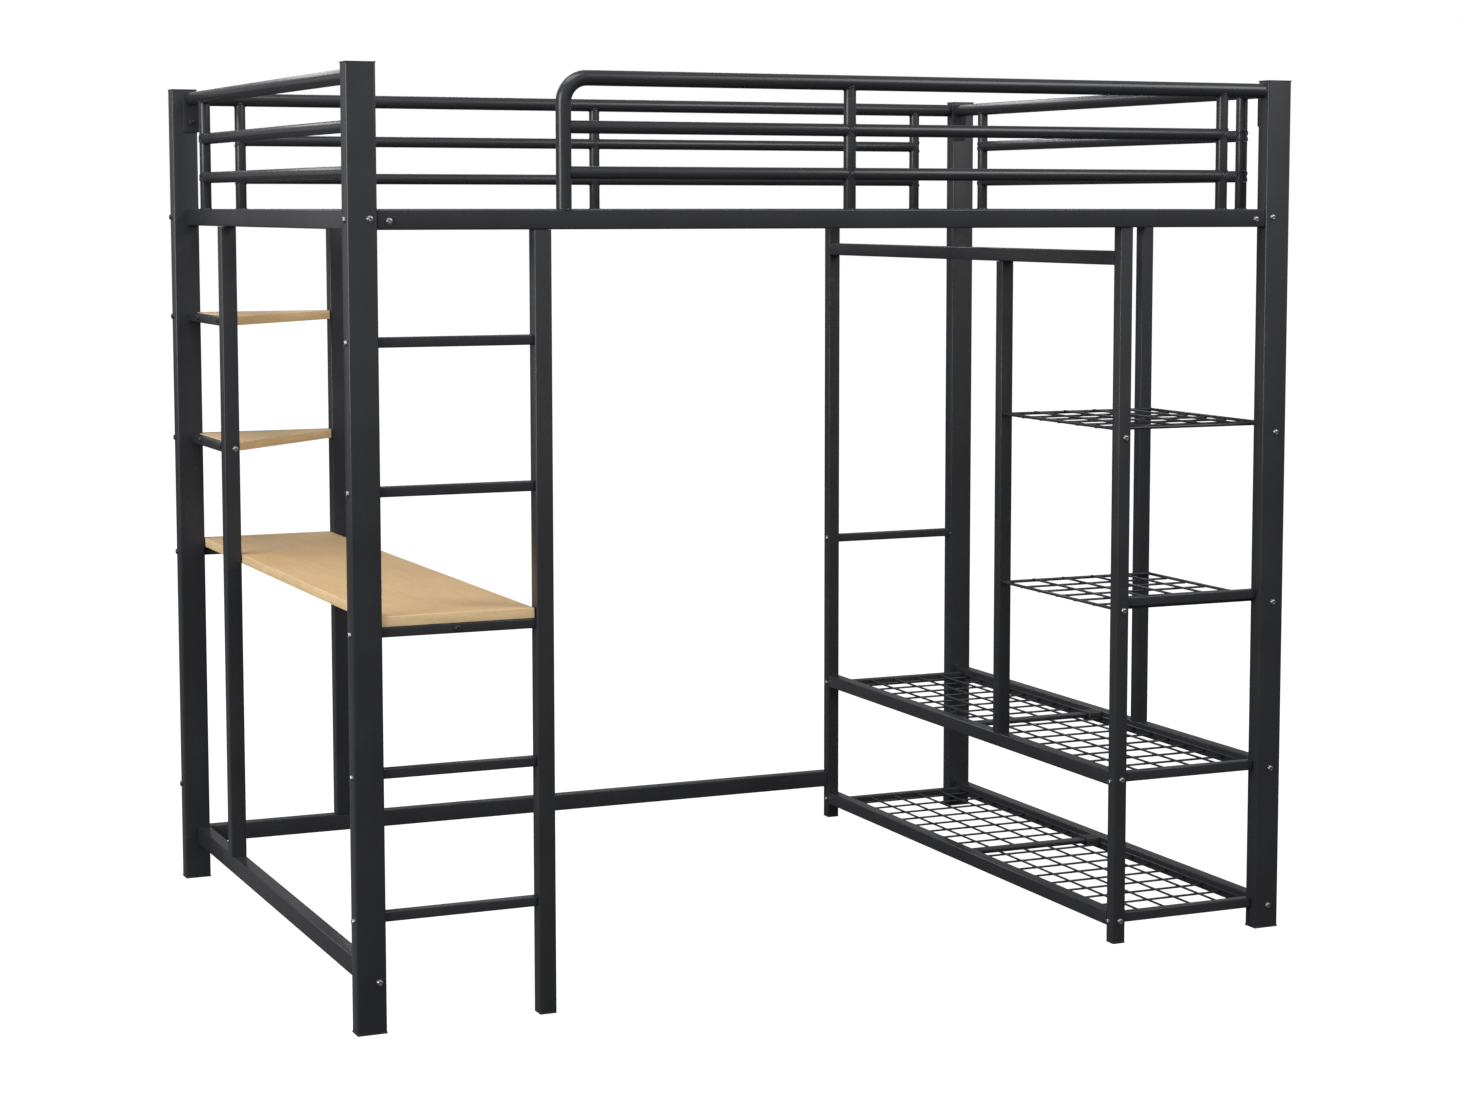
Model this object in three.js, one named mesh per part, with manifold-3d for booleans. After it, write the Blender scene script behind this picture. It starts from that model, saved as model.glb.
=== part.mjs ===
// A full-size metal loft bed: a bunk deck on four posts, with guard rails, a ladder,
// a desk and two corner shelves at the left end, and an open wardrobe at the right end.
// Millimetres, +Z up. The origin is on the floor, in the middle of the footprint.
// X runs along the bed, from the desk end to the wardrobe end; the ladder side faces -Y.
import * as THREE from "three";
import { mergeVertices } from "three/addons/utils/BufferGeometryUtils.js";
import Module from "manifold-3d";

const wasm = await Module();
wasm.setup();

// Overall sizes
const bedLength = 2078;
const bedWidth = 1460;
const postHeight = 1835;
const gap = 0.3; // left between two pieces that touch

// Rectangular tube sections
const postAcross = 60; // along the bed
const postDeep = 40; // across the bed
const postCapThickness = 2;
const railDeep = 30;
const bedRailHeight = 38;
const floorRailHeight = 40;
const stileSize = 35; // uprights of the ladder and of the desk
const legSize = 30; // uprights of the wardrobe
const shelfRailHeight = 31;
const rungSize = 20;
const tubeWall = 1;
const tubeCorner = 2.5;

// Faces of the posts and of the rails between them
const leftX = -bedLength / 2;
const rightX = bedLength / 2;
const frontY = -bedWidth / 2;
const backY = bedWidth / 2;
const innerLeftX = leftX + postAcross;
const innerRightX = rightX - postAcross;
const innerFrontY = frontY + postDeep;
const innerBackY = backY - postDeep;
const frontCentreY = frontY + postDeep / 2;
const backCentreY = backY - postDeep / 2;
const leftRailX = innerLeftX - railDeep;
const rightRailX = innerRightX;
const leftCentreX = leftRailX + railDeep / 2;
const rightCentreX = rightRailX + railDeep / 2;
const frontRailY = frontCentreY - railDeep / 2;
const backRailY = backCentreY - railDeep / 2;

// Heights of the main rails
const bedRailBottom = 1524.5;
const bedRailTop = bedRailBottom + bedRailHeight;
const floorRailBottom = 80.5;
const guardTopHeight = postHeight - 22; // centre of the top guard tube
const guardUpperHeight = 1719.5;
const guardLowerHeight = 1632.5;

// Guard tubes
const guardTubeDiameter = 30;
const infillTubeDiameter = 25;
const guardTubeWall = 1;
const guardTubeSides = 16;
const guardBendRadius = 48;
const bendSteps = 6;
const backSpindles = [innerLeftX + 103, 0, innerRightX - 103];
const frontSpindles = [2, innerRightX - 102];
const endSpindles = [innerFrontY + 82, innerBackY - 129];
const entryPostX = innerLeftX + 374; // where the front guard turns down beside the ladder

// Ladder and desk
const ladderStileX = innerLeftX + 307; // left face of the ladder's inner stile
const rungHeights = [224.4, 499.7, 1035, 1315.3];
const deskTopHeight = 800;
const deskThickness = 20;
const deskRight = ladderStileX - 3;
const deskFront = frontY + 8;
const deskBack = backY - 12;
const deskStileY = innerBackY - 346; // front face of the upright at the desk's outer end

// Corner shelves over the desk
const cornerShelfTops = [1045, 1325];
const cornerShelfThickness = 20;
const cornerShelfFront = deskStileY + stileSize + 13; // where the slanted front edge starts
const cornerShelfBack = backY - 8;

// Wardrobe
const wardrobeX = innerRightX - 352; // left face of the wardrobe's inner legs
const outerRailX = innerRightX + 15; // left face of the rails at the outer end
const hangingRailBottom = bedRailBottom - 79;
const dividerY = innerFrontY + 480; // front face of the middle uprights
const bigShelfBottoms = [35.3, 339.7];
const backRailBottom = 713;
const frontRailBottom = 724.8;

// Wire shelves
const wireThickness = 5;
const wireDrop = 11.2; // below the top of the shelf's rails
const longWires = 6;
const wireInset = 1; // from the side rails to the outermost long wires
const crossWirePitch = 74.3;
const firstCrossWire = 42; // from the inner faces of the front posts
const shortRailHeight = 22;
const shortRailDeep = 20;
const backBarInset = 46; // from the back posts to the front face of the deck's back bar
const backBarDrop = 9; // below the top of the shelf's rails
const middleBarFront = (innerFrontY + innerBackY) / 2 - 45;
const middleBarDeep = 30;
const middleBarHeight = 10;
const middleBarDrop = 4.5; // below the top of the shelf's rails
const smallShelfLeft = wardrobeX + 5;
const smallShelfRight = outerRailX + 28;
const smallShelfBottoms = [715.5, 1098];
const smallShelfRim = 7;
const smallWireThickness = 5;
const smallCellsAlong = 5;
const smallCellsAcross = 6;

// Mattress deck
const slatCount = 10;
const slatWidth = 40;
const slatHeight = 12;
const slatTopDrop = 5.5; // below the top of the bed rails
const beamWidth = 30;
const beamHeight = 18;

// Front faces of the wardrobe's inner legs
const wardrobeFrontY = innerFrontY - legSize;
const wardrobeBackY = innerBackY;

const blackSteel = { color: 0x2c2d2f, roughness: 0.45, metalness: 0.6 };
const lightOak = { color: 0xc4a67d, roughness: 0.6, metalness: 0 };

const bed = new THREE.Group();

// Adds one sub-part, with a material of its own.
function addPart(name, geometry, finish) {
  const mesh = new THREE.Mesh(geometry, new THREE.MeshStandardMaterial(finish));
  mesh.name = name;
  bed.add(mesh);
  return mesh;
}

// A rectangle about the origin with rounded corners, as a shape or as a hole.
function roundedRectangle(width, height, radius, Outline = THREE.Shape) {
  const outline = new Outline();
  const w = width / 2;
  const h = height / 2;
  outline.moveTo(-w + radius, -h);
  outline.lineTo(w - radius, -h);
  outline.absarc(w - radius, -h + radius, radius, -Math.PI / 2, 0);
  outline.lineTo(w, h - radius);
  outline.absarc(w - radius, h - radius, radius, 0, Math.PI / 2);
  outline.lineTo(-w + radius, h);
  outline.absarc(-w + radius, h - radius, radius, Math.PI / 2, Math.PI);
  outline.lineTo(-w, -h + radius);
  outline.absarc(-w + radius, -h + radius, radius, Math.PI, 1.5 * Math.PI);
  return outline;
}

// A circle about the origin, as a shape or as a hole.
function circle(radius, Outline = THREE.Shape) {
  const outline = new Outline();
  outline.absarc(0, 0, radius, 0, 2 * Math.PI);
  return outline;
}

// A box from its lowest and highest corners.
function block(low, high) {
  const geometry = new THREE.BoxGeometry(high[0] - low[0], high[1] - low[1], high[2] - low[2]);
  geometry.translate((low[0] + high[0]) / 2, (low[1] + high[1]) / 2, (low[2] + high[2]) / 2);
  return geometry;
}

// A rectangular tube, open at both ends, that fills the box between two corners.
// It runs along the axis given (0 is X, 1 is Y, 2 is Z), and stops short by the gap.
function tubeBetween(low, high, axis) {
  const size = high.map((value, i) => value - low[i]);
  const [across, up] = [[size[2], size[1]], [size[0], size[2]], [size[0], size[1]]][axis];
  const section = roundedRectangle(across, up, tubeCorner);
  const inner = tubeCorner - tubeWall;
  section.holes.push(roundedRectangle(across - 2 * tubeWall, up - 2 * tubeWall, inner, THREE.Path));
  const length = size[axis] - 2 * gap;
  const options = { depth: length, bevelEnabled: false, curveSegments: 1 };
  const geometry = new THREE.ExtrudeGeometry(section, options);
  geometry.translate(0, 0, -length / 2);
  if (axis === 0) geometry.rotateY(Math.PI / 2);
  if (axis === 1) geometry.rotateX(Math.PI / 2);
  geometry.translate(...low.map((value, i) => (value + high[i]) / 2));
  return geometry;
}

// A round bar or tube from one point to another along one axis. A wall of 0 makes it solid.
function roundBetween(start, end, radius, wall) {
  const from = new THREE.Vector3(...start);
  const to = new THREE.Vector3(...end);
  const section = circle(radius);
  if (wall > 0) section.holes.push(circle(radius - wall, THREE.Path));
  const length = from.distanceTo(to);
  const options = { depth: length, bevelEnabled: false, curveSegments: guardTubeSides / 2 };
  const geometry = new THREE.ExtrudeGeometry(section, options);
  const along = to.clone().sub(from).normalize();
  geometry.applyQuaternion(new THREE.Quaternion().setFromUnitVectors(new THREE.Vector3(0, 0, 1), along));
  geometry.translate(...start);
  return geometry;
}

// A three.js geometry as a manifold solid, and back.
function solid(geometry) {
  const bare = new THREE.BufferGeometry();
  const flat = geometry.index ? geometry.toNonIndexed() : geometry;
  bare.setAttribute("position", flat.getAttribute("position"));
  const merged = mergeVertices(bare, 1e-3);
  const vertProperties = new Float32Array(merged.attributes.position.array);
  const triVerts = new Uint32Array(merged.index.array);
  return new wasm.Manifold(new wasm.Mesh({ numProp: 3, vertProperties, triVerts }));
}

function geometryOf(manifold) {
  const mesh = manifold.getMesh();
  const geometry = new THREE.BufferGeometry();
  geometry.setAttribute("position", new THREE.BufferAttribute(mesh.vertProperties, 3));
  geometry.setIndex(new THREE.BufferAttribute(mesh.triVerts, 1));
  return geometry;
}

function union(geometries) {
  return geometries.map(solid).reduce((whole, piece) => whole.add(piece));
}

// Posts: rectangular tube with a welded top plate and an open foot.
function makePost(name, x, y) {
  const shell = solid(new THREE.ExtrudeGeometry(
    roundedRectangle(postAcross, postDeep, tubeCorner),
    { depth: postHeight, bevelEnabled: false, curveSegments: 1 },
  ));
  const bore = new THREE.ExtrudeGeometry(
    roundedRectangle(postAcross - 2 * tubeWall, postDeep - 2 * tubeWall, tubeCorner - tubeWall),
    { depth: postHeight, bevelEnabled: false, curveSegments: 1 },
  );
  bore.translate(0, 0, -postCapThickness);
  const post = addPart(name, geometryOf(shell.subtract(solid(bore))), blackSteel);
  post.position.set(x, y, 0);
}

makePost("post_front_left", leftX + postAcross / 2, frontCentreY);
makePost("post_front_right", rightX - postAcross / 2, frontCentreY);
makePost("post_back_left", leftX + postAcross / 2, backCentreY);
makePost("post_back_right", rightX - postAcross / 2, backCentreY);

// Bed rails and floor rails between the posts.
function addTube(name, low, high, axis) {
  addPart(name, tubeBetween(low, high, axis), blackSteel);
}

function alongRail(name, y, bottom, height, startX, endX) {
  addTube(name, [startX, y, bottom], [endX, y + railDeep, bottom + height], 0);
}

function acrossRail(name, x, bottom, height) {
  addTube(name, [x, innerFrontY, bottom], [x + railDeep, innerBackY, bottom + height], 1);
}

alongRail("bed_rail_front", frontRailY, bedRailBottom, bedRailHeight, innerLeftX, innerRightX);
alongRail("bed_rail_back", backRailY, bedRailBottom, bedRailHeight, innerLeftX, innerRightX);
acrossRail("bed_rail_left", leftRailX, bedRailBottom, bedRailHeight);
acrossRail("bed_rail_right", rightRailX, bedRailBottom, bedRailHeight);
acrossRail("floor_rail_left", leftRailX, floorRailBottom, floorRailHeight);
alongRail("floor_rail_back", backRailY, floorRailBottom, floorRailHeight, innerLeftX, wardrobeX);

// Mattress deck: flat steel slats across the bed, over a beam along its middle.
const slatTop = bedRailTop - slatTopDrop;
const slatBottom = slatTop - slatHeight;
const slatPitch = (innerRightX - innerLeftX) / slatCount;

for (let i = 0; i < slatCount; i += 1) {
  const x = innerLeftX + slatPitch * (i + 0.5);
  const low = [x - slatWidth / 2, frontRailY + railDeep, slatBottom];
  addTube(`slat_${i + 1}`, low, [x + slatWidth / 2, backRailY, slatTop], 1);
}

const beamTop = slatBottom - gap;
addTube("slat_beam",
  [leftRailX + railDeep, -beamWidth / 2, beamTop - beamHeight], [rightRailX, beamWidth / 2, beamTop], 0);

// Guards: a round top tube, and below it two thinner tubes welded between spindles
// that stand on the bed rail. axis 0 is a guard along the bed, 1 is one across it.
const guardRadius = guardTubeDiameter / 2;
const infillRadius = infillTubeDiameter / 2;

function pointOn(axis, along, level, plane) {
  return axis === 0 ? [along, plane, level] : [plane, along, level];
}

function infillNetwork(axis, plane, midStart, midEnd, spindles, inset, extra) {
  const radius = infillRadius - inset;
  const bars = [guardLowerHeight, guardUpperHeight].map((level) => roundBetween(
    pointOn(axis, midStart, level, plane), pointOn(axis, midEnd, level, plane), radius, 0));
  const uprights = spindles.map((along) => roundBetween(
    pointOn(axis, along, bedRailTop + gap - extra, plane),
    pointOn(axis, along, guardTopHeight, plane), radius, 0));
  return union([...bars, ...uprights]);
}

function makeInfill(name, axis, plane, midStart, midEnd, spindles, topTube) {
  const outer = infillNetwork(axis, plane, midStart, midEnd, spindles, 0, 0);
  const bore = infillNetwork(axis, plane, midStart, midEnd, spindles, guardTubeWall, 1);
  addPart(name, geometryOf(outer.subtract(bore).subtract(topTube)), blackSteel);
}

function straightGuard(side, axis, plane, start, end, spindles) {
  const from = pointOn(axis, start + gap, guardTopHeight, plane);
  const to = pointOn(axis, end - gap, guardTopHeight, plane);
  addPart(`guard_${side}_top`, roundBetween(from, to, guardRadius, guardTubeWall), blackSteel);
  const clearance = solid(roundBetween(
    pointOn(axis, start, guardTopHeight, plane),
    pointOn(axis, end, guardTopHeight, plane), guardRadius + gap, 0));
  const first = spindles[0];
  const last = spindles[spindles.length - 1];
  makeInfill(`guard_${side}_infill`, axis, plane, first, last, spindles, clearance);
}

straightGuard("left", 1, leftCentreX, innerFrontY, innerBackY, endSpindles);
straightGuard("right", 1, rightCentreX, innerFrontY, innerBackY, endSpindles);
straightGuard("back", 0, backCentreY, innerLeftX, innerRightX, backSpindles);

// The front guard's top tube turns down to the bed rail beside the ladder opening.
function frontGuardPath(endX) {
  const turnX = entryPostX + guardBendRadius;
  const turnZ = guardTopHeight - guardBendRadius;
  const at = (x, z) => new THREE.Vector3(x, frontCentreY, z);
  const points = [at(entryPostX, bedRailTop + gap)];
  for (let i = 0; i <= bendSteps; i += 1) {
    const angle = Math.PI - (Math.PI / 2) * (i / bendSteps);
    points.push(at(turnX + guardBendRadius * Math.cos(angle), turnZ + guardBendRadius * Math.sin(angle)));
  }
  points.push(at(endX, guardTopHeight));
  return points;
}

// A round section carried along straight stretches with mitred joints.
function mitredTube(points, radius, wall) {
  const rings = (r) => points.map((point, i) => {
    const back = i > 0 ? point.clone().sub(points[i - 1]).normalize() : null;
    const ahead = i < points.length - 1 ? points[i + 1].clone().sub(point).normalize() : null;
    const along = back && ahead ? back.clone().add(ahead).normalize() : (back || ahead);
    const stretch = back && ahead ? 1 / along.dot(ahead) : 1;
    const side = new THREE.Vector3(0, 1, 0).cross(along);
    const ring = [];
    for (let k = 0; k < guardTubeSides; k += 1) {
      const angle = (2 * Math.PI * k) / guardTubeSides;
      const out = side.clone().multiplyScalar(r * stretch * Math.cos(angle));
      out.y += r * Math.sin(angle);
      ring.push(point.clone().add(out));
    }
    return ring;
  });
  return skinned(rings(radius), wall > 0 ? rings(radius - wall) : null);
}

// Closes rings of points into a bar, or into a tube where inner rings are given.
function skinned(outer, inner) {
  const corners = [];
  const quad = (a, b, c, d) => corners.push(a, b, c, a, c, d);
  const count = outer[0].length;
  const last = outer.length - 1;
  for (let k = 0; k < count; k += 1) {
    const n = (k + 1) % count;
    for (let i = 0; i < last; i += 1) {
      quad(outer[i][k], outer[i][n], outer[i + 1][n], outer[i + 1][k]);
      if (inner) quad(inner[i][n], inner[i][k], inner[i + 1][k], inner[i + 1][n]);
    }
    if (inner) {
      quad(inner[0][k], inner[0][n], outer[0][n], outer[0][k]);
      quad(outer[last][k], outer[last][n], inner[last][n], inner[last][k]);
    } else if (k > 0 && n > 0) {
      corners.push(outer[0][0], outer[0][n], outer[0][k]);
      corners.push(outer[last][0], outer[last][k], outer[last][n]);
    }
  }
  return new THREE.BufferGeometry().setFromPoints(corners);
}

const frontPath = frontGuardPath(innerRightX - gap);
addPart("guard_front_top", mitredTube(frontPath, guardRadius, guardTubeWall), blackSteel);
const frontClearance = solid(mitredTube(frontGuardPath(innerRightX), guardRadius + gap, 0));
makeInfill("guard_front_infill", 0, frontCentreY, entryPostX,
  frontSpindles[frontSpindles.length - 1], frontSpindles, frontClearance);

// Ladder: one stile, and rungs that run from it to the front left post.
const stileTop = bedRailBottom;
const ladderStileRight = ladderStileX + stileSize;
addTube("ladder_stile", [ladderStileX, frontY, 0], [ladderStileRight, frontY + stileSize, stileTop], 2);

const rungY = frontY + (stileSize - rungSize) / 2;

function addRung(name, y, bottom) {
  addTube(name, [innerLeftX, y, bottom], [ladderStileX, y + rungSize, bottom + rungSize], 0);
}

rungHeights.forEach((height, i) => addRung(`rung_${i + 1}`, rungY, height - rungSize / 2));

// Desk: a long board on a rail at each end, and the uprights beside it.
const deskBottom = deskTopHeight - deskThickness;
const deskRailBottom = deskBottom - gap - rungSize;
const deskStileBackY = backCentreY - stileSize / 2;
addRung("desk_rail_front", rungY, deskRailBottom);
addRung("desk_rail_back", backCentreY - rungSize / 2, deskRailBottom);
const deskLow = [innerLeftX + gap, deskFront, deskBottom];
addPart("desk_top", block(deskLow, [deskRight, deskBack, deskTopHeight]), lightOak);

const stileBottom = floorRailBottom + floorRailHeight;
addTube("desk_stile_left",
  [innerLeftX - stileSize, deskStileY, stileBottom],
  [innerLeftX - gap, deskStileY + stileSize, bedRailBottom], 2);
addTube("desk_stile_back",
  [ladderStileX, deskStileBackY, stileBottom],
  [ladderStileRight, deskStileBackY + stileSize, bedRailBottom], 2);

// Corner shelves: boards with a slanted front edge, on a bracket at the side and one behind.
const bracketX = leftRailX;
const boardLeft = bracketX + rungSize + gap;
const boardBackY = cornerShelfBack - rungSize - gap;

function makeCornerShelf(name, top) {
  const outline = new THREE.Shape();
  outline.moveTo(boardLeft, cornerShelfFront);
  outline.lineTo(deskRight, innerBackY);
  outline.lineTo(deskRight, boardBackY);
  outline.lineTo(innerLeftX + gap, boardBackY);
  outline.lineTo(innerLeftX + gap, innerBackY - gap);
  outline.lineTo(boardLeft, innerBackY - gap);
  outline.closePath();
  const geometry = new THREE.ExtrudeGeometry(outline, { depth: cornerShelfThickness, bevelEnabled: false });
  geometry.translate(0, 0, top - cornerShelfThickness);
  addPart(`${name}_board`, geometry, lightOak);
  const bottom = top - cornerShelfThickness;
  addTube(`${name}_side_bracket`,
    [bracketX, deskStileY + stileSize, bottom], [bracketX + rungSize, innerBackY, bottom + rungSize], 1);
  addTube(`${name}_back_bracket`,
    [innerLeftX, boardBackY + gap, bottom],
    [ladderStileX, boardBackY + gap + rungSize, bottom + rungSize], 0);
}

makeCornerShelf("corner_shelf_lower", cornerShelfTops[0]);
makeCornerShelf("corner_shelf_upper", cornerShelfTops[1]);

// Wardrobe frame: two inner legs, the hanging rail between them, and the middle uprights.
function addLeg(name, x, y, bottom, top) {
  addTube(name, [x, y, bottom], [x + legSize, y + legSize, top], 2);
}

const bigShelfTop = bigShelfBottoms[1] + shelfRailHeight;
addLeg("wardrobe_leg_front", wardrobeX, wardrobeFrontY, 0, bedRailBottom);
addLeg("wardrobe_leg_back", wardrobeX, wardrobeBackY, 0, bedRailBottom);
addTube("hanging_rail",
  [wardrobeX, innerFrontY, hangingRailBottom],
  [wardrobeX + legSize, innerBackY, hangingRailBottom + legSize], 1);
addLeg("divider_inner", wardrobeX, dividerY, bigShelfTop, hangingRailBottom);
addLeg("divider_outer", outerRailX, dividerY, bigShelfTop, bedRailBottom);

const wardrobeRight = wardrobeX + legSize;
const backRungY = wardrobeBackY + (legSize - rungSize) / 2;
const frontRungY = wardrobeFrontY + (legSize - rungSize) / 2;
addTube("wardrobe_back_rail",
  [wardrobeRight, backRungY, backRailBottom],
  [innerRightX, backRungY + rungSize, backRailBottom + rungSize], 0);
addTube("wardrobe_front_rail",
  [wardrobeRight, frontRungY, frontRailBottom],
  [innerRightX, frontRungY + rungSize, frontRailBottom + rungSize], 0);

// Big wire shelves: a side rail along each edge, and a welded deck between them. The deck
// has a rail at the front, a flat bar in the middle, a bar at the back, and wires both ways.
function makeDeck(name, railBottom) {
  const top = railBottom + shelfRailHeight;
  const frontBottom = top - shortRailHeight;
  const backBarY = innerBackY - backBarInset;
  const backTop = top - backBarDrop;
  const wireTop = top - wireDrop;
  const wireBottom = wireTop - wireThickness;
  const x0 = wardrobeRight + gap;
  const x1 = outerRailX - gap;
  const postX = innerRightX - gap;
  const frontEnd = frontRungY + shortRailDeep;
  const middleTop = top - middleBarDrop;
  const middleLow = [x0, middleBarFront, middleTop - middleBarHeight];
  const pieces = [
    block([x0, frontRungY, frontBottom], [postX, frontEnd, top]),
    block([x0, backBarY, backTop - rungSize], [x1, backBarY + rungSize, backTop]),
    block(middleLow, [x1, middleBarFront + middleBarDeep, middleTop]),
  ];
  const longPitch = (x1 - x0 - 2 * wireInset - wireThickness) / (longWires - 1);
  for (let i = 0; i < longWires; i += 1) {
    const x = x0 + wireInset + longPitch * i;
    const start = x + wireThickness > postX ? innerFrontY + gap : frontEnd - 1;
    pieces.push(block([x, start, wireBottom], [x + wireThickness, backBarY + 1, wireTop]));
  }
  const half = wireThickness / 2;
  for (let y = innerFrontY + firstCrossWire; y + half < backBarY; y += crossWirePitch) {
    const inside = wireInset + half;
    pieces.push(block([x0 + inside, y - half, wireBottom], [x1 - inside, y + half, wireTop]));
  }
  addPart(name, geometryOf(union(pieces)), blackSteel);
}

["lower", "upper"].forEach((level, i) => {
  const bottom = bigShelfBottoms[i];
  addTube(`shelf_${level}_inner_rail`,
    [wardrobeX, innerFrontY, bottom], [wardrobeRight, innerBackY, bottom + shelfRailHeight], 1);
  addTube(`shelf_${level}_outer_rail`,
    [outerRailX, innerFrontY, bottom], [outerRailX + railDeep, innerBackY, bottom + shelfRailHeight], 1);
  makeDeck(`shelf_${level}_deck`, bottom);
});

// Small wire shelves: a grid of wires in a rim, between the four uprights of the front bay.
function makeSmallShelf(name, bottom) {
  const x0 = smallShelfLeft;
  const x1 = smallShelfRight;
  const y0 = innerFrontY + gap;
  const y1 = dividerY - gap;
  const top = bottom + smallShelfRim;
  const wireTop = bottom + (smallShelfRim + smallWireThickness) / 2;
  const wireBottom = wireTop - smallWireThickness;
  const pieces = [
    block([x0, y0, bottom], [x1, y0 + smallShelfRim, top]),
    block([x0, y1 - smallShelfRim, bottom], [x1, y1, top]),
    block([x0, y0, bottom], [x0 + smallShelfRim, y1, top]),
    block([x1 - smallShelfRim, y0, bottom], [x1, y1, top]),
  ];
  for (let i = 1; i < smallCellsAlong; i += 1) {
    const x = x0 + ((x1 - x0) * i) / smallCellsAlong;
    const half = smallWireThickness / 2;
    pieces.push(block([x - half, y0 + 1, wireBottom], [x + half, y1 - 1, wireTop]));
  }
  for (let i = 1; i < smallCellsAcross; i += 1) {
    const y = y0 + ((y1 - y0) * i) / smallCellsAcross;
    const half = smallWireThickness / 2;
    pieces.push(block([x0 + 1, y - half, wireBottom], [x1 - 1, y + half, wireTop]));
  }
  addPart(name, geometryOf(union(pieces)), blackSteel);
}

makeSmallShelf("wire_shelf_lower", smallShelfBottoms[0]);
makeSmallShelf("wire_shelf_upper", smallShelfBottoms[1]);

export default bed;
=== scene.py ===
import math

import bpy
import numpy as np
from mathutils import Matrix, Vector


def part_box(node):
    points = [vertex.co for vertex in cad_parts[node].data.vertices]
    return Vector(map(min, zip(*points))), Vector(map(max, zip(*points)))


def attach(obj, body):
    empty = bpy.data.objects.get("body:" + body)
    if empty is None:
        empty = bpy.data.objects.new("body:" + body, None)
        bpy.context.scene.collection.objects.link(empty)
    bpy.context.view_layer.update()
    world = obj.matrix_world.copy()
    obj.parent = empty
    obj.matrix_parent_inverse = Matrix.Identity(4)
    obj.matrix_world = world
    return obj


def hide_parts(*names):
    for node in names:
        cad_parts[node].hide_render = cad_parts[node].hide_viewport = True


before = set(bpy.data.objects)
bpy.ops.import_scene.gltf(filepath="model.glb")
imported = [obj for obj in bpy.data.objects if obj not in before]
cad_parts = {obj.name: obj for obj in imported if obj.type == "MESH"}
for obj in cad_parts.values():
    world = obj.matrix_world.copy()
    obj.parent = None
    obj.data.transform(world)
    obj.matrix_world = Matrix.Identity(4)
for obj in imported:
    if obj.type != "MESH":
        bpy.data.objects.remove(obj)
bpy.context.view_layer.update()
print("frame loaded")

mm = 0.001


# A shape is a pair: points, an (n, 3) array, and faces, a list of index arrays.

def loft(rings, closed=False):
    # rings[i, j] is point j of ring i. Neighbouring rings are joined by quads, and the first
    # and last ring are closed by one flat face each, unless the rings themselves form a loop.
    count, around = rings.shape[:2]
    rows = count if closed else count - 1
    i, j = np.meshgrid(np.arange(rows), np.arange(around), indexing="ij")
    nextRow, nextCol = (i + 1) % count, (j + 1) % around
    quads = np.stack([i * around + j, i * around + nextCol,
                      nextRow * around + nextCol, nextRow * around + j], axis=-1)
    faces = [quads.reshape(-1, 4)]
    if not closed:
        first = np.arange(around)
        faces += [first[None, ::-1], (first + (count - 1) * around)[None, :]]
    return outward(rings.reshape(-1, 3), faces)


def outward(points, faces):
    # The signed volume is the sum over faces of corner dot cross product; a negative one
    # means that the shape is inside out, and every face is turned.
    volume = 0.0
    for group in faces:
        corners = points[group]
        for k in range(1, group.shape[1] - 1):
            cross = np.cross(corners[:, k], corners[:, k + 1])
            volume += np.einsum("ij,ij->", corners[:, 0], cross)
    return (points, [g[:, ::-1] for g in faces]) if volume < 0 else (points, faces)


def toWorld(local, axis):
    # local columns are across, up and along; along is the world axis with that number.
    across, up, along = local[..., 0], local[..., 1], local[..., 2]
    order = [(along, across, up), (across, along, up), (across, up, along)][axis]
    return np.stack(order, axis=-1)


def rectangle(width, height, radius, crown=0.0, steps=6):
    # A rectangle with quarter circles at its corners. Each side is a shallow parabola that
    # stands the crown higher in its middle than at its ends.
    cx, cy = width / 2 - crown - radius, height / 2 - crown - radius
    crowned, plain = [-1, -0.96, -0.6, -0.2, 0.2, 0.6, 0.96, 1], [-1, -0.97, 0.97, 1]
    flat = np.array(crowned if crown else plain)
    turn = np.linspace(0, math.pi / 2, steps + 1)[1:-1]
    sides = []
    for k in range(4):
        c, h, o = (cx, height, cy) if k % 2 == 0 else (cy, width, cx)
        side = np.stack([flat * c, crown * flat ** 2 - h / 2], axis=-1)
        corner = np.stack([c + radius * np.sin(turn), -o - radius * np.cos(turn)], axis=-1)
        a = k * math.pi / 2
        turned = np.array([[math.cos(a), math.sin(a)], [-math.sin(a), math.cos(a)]])
        sides.append(np.concatenate([side, corner]) @ turned)
    return np.concatenate(sides)


def circle(radius, sides=32):
    # Point k is at the angle 2 pi k / sides.
    t = np.linspace(0, 2 * math.pi, sides, endpoint=False)
    return np.stack([radius * np.cos(t), radius * np.sin(t)], axis=-1)


def bar(section, start, end, axis, centre, rounding=0.5 * mm, steps=3):
    # The section is carried in a straight line from start to end. Near both ends it is drawn
    # in along a quarter circle of the rounding radius, so that the end has a soft edge.
    t = np.linspace(0, math.pi / 2, steps + 1)
    inset, depth = rounding * (1 - np.sin(t)), rounding * (1 - np.cos(t))
    inset = np.concatenate([inset, inset[::-1]])
    place = np.concatenate([start + depth, (end - depth)[::-1]])
    size = np.abs(section).max(axis=0)
    shrink = 1 - inset[:, None, None] / size
    rings = np.empty((len(place), len(section), 3))
    rings[..., :2] = section * shrink + np.asarray(centre)
    rings[..., 2] = place[:, None]
    return loft(toWorld(rings, axis))


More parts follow.
